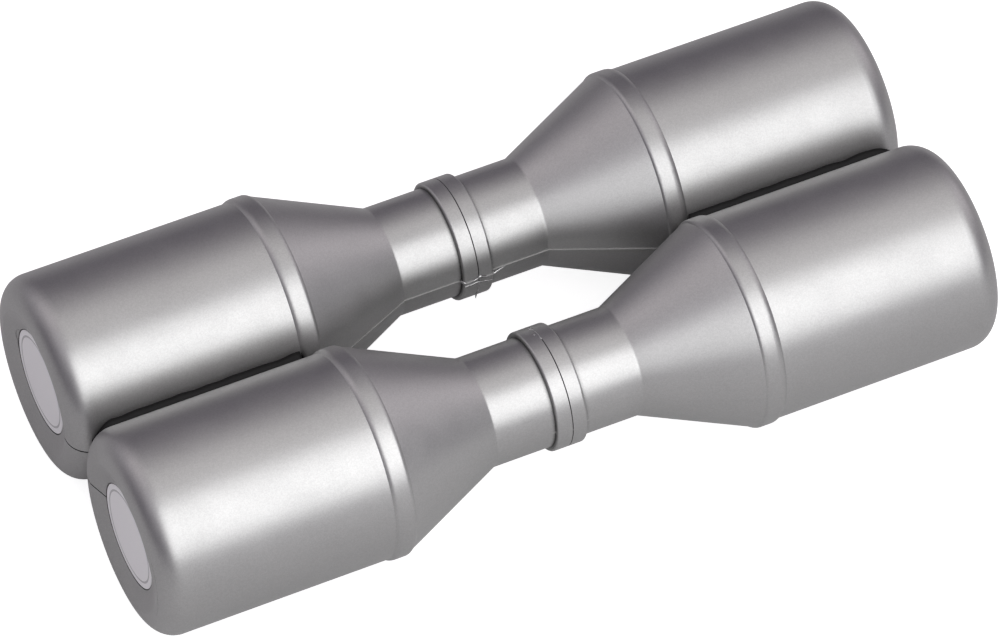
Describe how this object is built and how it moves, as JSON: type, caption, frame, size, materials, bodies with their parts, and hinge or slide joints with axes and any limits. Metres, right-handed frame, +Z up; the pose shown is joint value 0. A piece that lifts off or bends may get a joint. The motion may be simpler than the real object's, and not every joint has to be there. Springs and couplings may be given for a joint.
{
  "type": "double ganza shaker",
  "caption": "Double ganza shaker: waisted silver tubes fixed side by side, with a drum at each end, a collared neck to grip and loose shot inside.",
  "frame": {"origin": "the point on the resting plane below the centre of the box", "axes": "+X along the tubes, to the picture's right; +Y from the front tube to the rear tube; +Z up"},
  "size_m": [0.292, 0.1402, 0.07],
  "materials": {
    "silver_plastic": "satin silver-grey, with a faint metallic fleck",
    "coupling_plastic": "moulded, matt",
    "bond_glue": "cured glue, smooth",
    "sticker": "printed vinyl, satin, bare",
    "steel_shot": "plain"
  },
  "bodies": {
    "shaker": {"rear_left_upper_shell": "silver_plastic", "rear_left_lower_shell": "silver_plastic", "rear_right_upper_shell": "silver_plastic", "rear_right_lower_shell": "silver_plastic", "front_left_upper_shell": "silver_plastic", "front_left_lower_shell": "silver_plastic", "front_right_upper_shell": "silver_plastic", "front_right_lower_shell": "silver_plastic", "rear_neck_coupling": "coupling_plastic", "front_neck_coupling": "coupling_plastic", "left_bond_strip": "bond_glue", "right_bond_strip": "bond_glue", "rear_left_sticker": "sticker", "rear_right_sticker": "sticker", "front_left_sticker": "sticker", "front_right_sticker": "sticker"},
    "rear_left_charge": {"rear_left_shot": "steel_shot"},
    "rear_right_charge": {"rear_right_shot": "steel_shot"},
    "front_left_charge": {"front_left_shot": "steel_shot"},
    "front_right_charge": {"front_right_shot": "steel_shot"}
  },
  "joints": [
    {"name": "rear_left_shot_roll", "type": "hinge", "parent": "shaker", "child": "rear_left_charge", "pos_m": [-0.1, 0.03505, 0.035], "axis": [1, 0, 0], "continuous": true},
    {"name": "rear_right_shot_roll", "type": "hinge", "parent": "shaker", "child": "rear_right_charge", "pos_m": [0.1, 0.03505, 0.035], "axis": [1, 0, 0], "continuous": true},
    {"name": "front_left_shot_roll", "type": "hinge", "parent": "shaker", "child": "front_left_charge", "pos_m": [-0.1, -0.03505, 0.035], "axis": [1, 0, 0], "continuous": true},
    {"name": "front_right_shot_roll", "type": "hinge", "parent": "shaker", "child": "front_right_charge", "pos_m": [0.1, -0.03505, 0.035], "axis": [1, 0, 0], "continuous": true}
  ]
}
